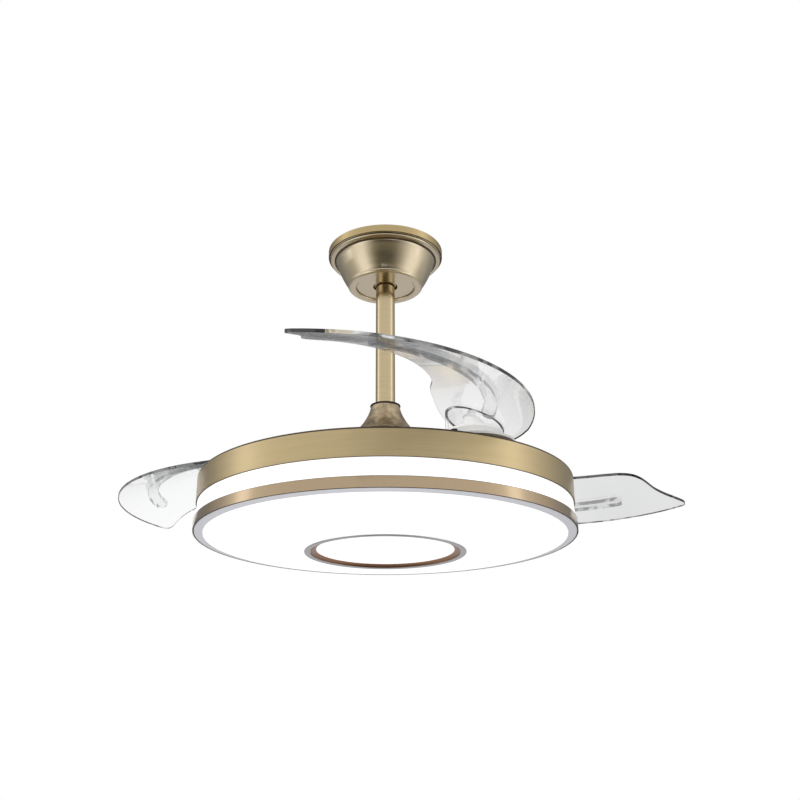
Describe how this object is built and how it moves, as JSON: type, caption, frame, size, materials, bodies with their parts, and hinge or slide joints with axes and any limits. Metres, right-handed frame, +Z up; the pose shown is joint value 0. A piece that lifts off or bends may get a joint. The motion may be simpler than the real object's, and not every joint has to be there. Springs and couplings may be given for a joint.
{
  "type": "retractable blade ceiling fan",
  "caption": "Ceiling fan with a round lit drum: clear curved blades swing out as the rotor spins and fold in over the drum when it stops; hung on a downrod from a ball in a ceiling bracket.",
  "frame": {"origin": "on the ceiling plane, midway between the two ceiling screw holes of the hanger bracket, on the axis of rod, motor and lamp", "axes": "+Z up into the ceiling, the fan hangs towards -Z; +X to the right and +Y away from the viewer in the picture; the ceiling screws lie along X"},
  "size_m": [0.8418, 0.7749, 0.4445],
  "materials": {
    "antique_brass": "brushed antique brass",
    "aged_bronze": "mottled aged bronze",
    "zinc_steel": "bright zinc plated",
    "dark_steel": "blackened",
    "motor_iron": "stacked laminations",
    "copper_wire": "enamelled copper",
    "black_rubber": "matt",
    "white_plastic": "satin",
    "nylon": "natural nylon",
    "opal_plastic": "opal diffuser, lit from behind",
    "clear_acrylic": "polished clear",
    "champagne_metal": "satin champagne",
    "rim_grey": "satin light grey",
    "bezel_grey": "satin grey",
    "copper_brown": "metallic copper brown",
    "board_white": "white solder resist",
    "chip_yellow": "phosphor"
  },
  "bodies": {
    "ceiling_mount": {"hanger_bracket": "zinc_steel", "terminal_block": "white_plastic", "receiver_box": "white_plastic", "canopy": "antique_brass", "canopy_trim_ring": "antique_brass", "canopy_base_disc": "antique_brass", "canopy_screws": "zinc_steel"},
    "ball_pin": {"ball_cross_pin": "zinc_steel"},
    "suspension": {"hanger_ball": "nylon", "downrod": "antique_brass", "supply_lead": "white_plastic", "lead_connector": "white_plastic", "rod_gasket": "black_rubber", "yoke_cover": "aged_bronze", "yoke_coupling": "zinc_steel", "clevis_pin": "zinc_steel", "cotter_pin": "zinc_steel", "yoke_set_screws": "dark_steel", "motor_shaft": "zinc_steel", "shaft_spacers": "zinc_steel", "bearing_inner_races": "zinc_steel", "stator_core": "motor_iron", "stator_coils": "copper_wire", "lamp_hub": "zinc_steel", "lamp_hub_screws": "zinc_steel", "shaft_nut": "zinc_steel", "lamp_chassis": "white_plastic", "chassis_spacers": "zinc_steel", "top_deck": "antique_brass", "upper_band": "antique_brass", "side_diffuser": "opal_plastic", "lower_ring": "champagne_metal", "bottom_rim": "rim_grey", "bottom_diffuser": "opal_plastic", "well_bezel": "bezel_grey", "well_wall": "copper_brown", "centre_diffuser": "opal_plastic", "led_board": "board_white", "led_chips": "chip_yellow", "board_spacers": "zinc_steel", "led_driver": "white_plastic"},
    "rotor": {"rotor_cup": "antique_brass", "rotor_cover": "antique_brass", "rotor_magnets": "motor_iron", "rotor_screws": "zinc_steel", "bearing_outer_races": "zinc_steel", "bearing_balls": "zinc_steel", "blade_carrier": "antique_brass", "carrier_screws": "zinc_steel", "pivot_bolts": "zinc_steel", "pivot_nuts": "zinc_steel", "return_springs": "zinc_steel", "stop_bumpers": "black_rubber"},
    "blade_1": {"blade_1": "clear_acrylic", "blade_bush_1": "nylon"},
    "blade_2": {"blade_2": "clear_acrylic", "blade_bush_2": "nylon"},
    "blade_3": {"blade_3": "clear_acrylic", "blade_bush_3": "nylon"}
  },
  "joints": [
    {"name": "sideways_swing", "type": "hinge", "parent": "ceiling_mount", "child": "ball_pin", "pos_m": [0, 0, -0.02991], "axis": [0, 1, 0], "range_deg": [-5, 5]},
    {"name": "front_back_swing", "type": "hinge", "parent": "ball_pin", "child": "suspension", "pos_m": [0, 0, -0.02991], "axis": [1, 0, 0], "range_deg": [-5, 5]},
    {"name": "rotor_spin", "type": "hinge", "parent": "suspension", "child": "rotor", "pos_m": [0, 0, -0.318], "axis": [0, 0, 1], "continuous": true},
    {"name": "blade_1_fold", "type": "hinge", "parent": "rotor", "child": "blade_1", "pos_m": [0.10679, -0.16196, -0.329], "axis": [0, 0, 1], "range_deg": [-73, 0]},
    {"name": "blade_2_fold", "type": "hinge", "parent": "rotor", "child": "blade_2", "pos_m": [-0.19366, -0.0115, -0.329], "axis": [0, 0, 1], "range_deg": [-73, 0]},
    {"name": "blade_3_fold", "type": "hinge", "parent": "rotor", "child": "blade_3", "pos_m": [0.08686, 0.17347, -0.329], "axis": [0, 0, 1], "range_deg": [-73, 0]}
  ]
}
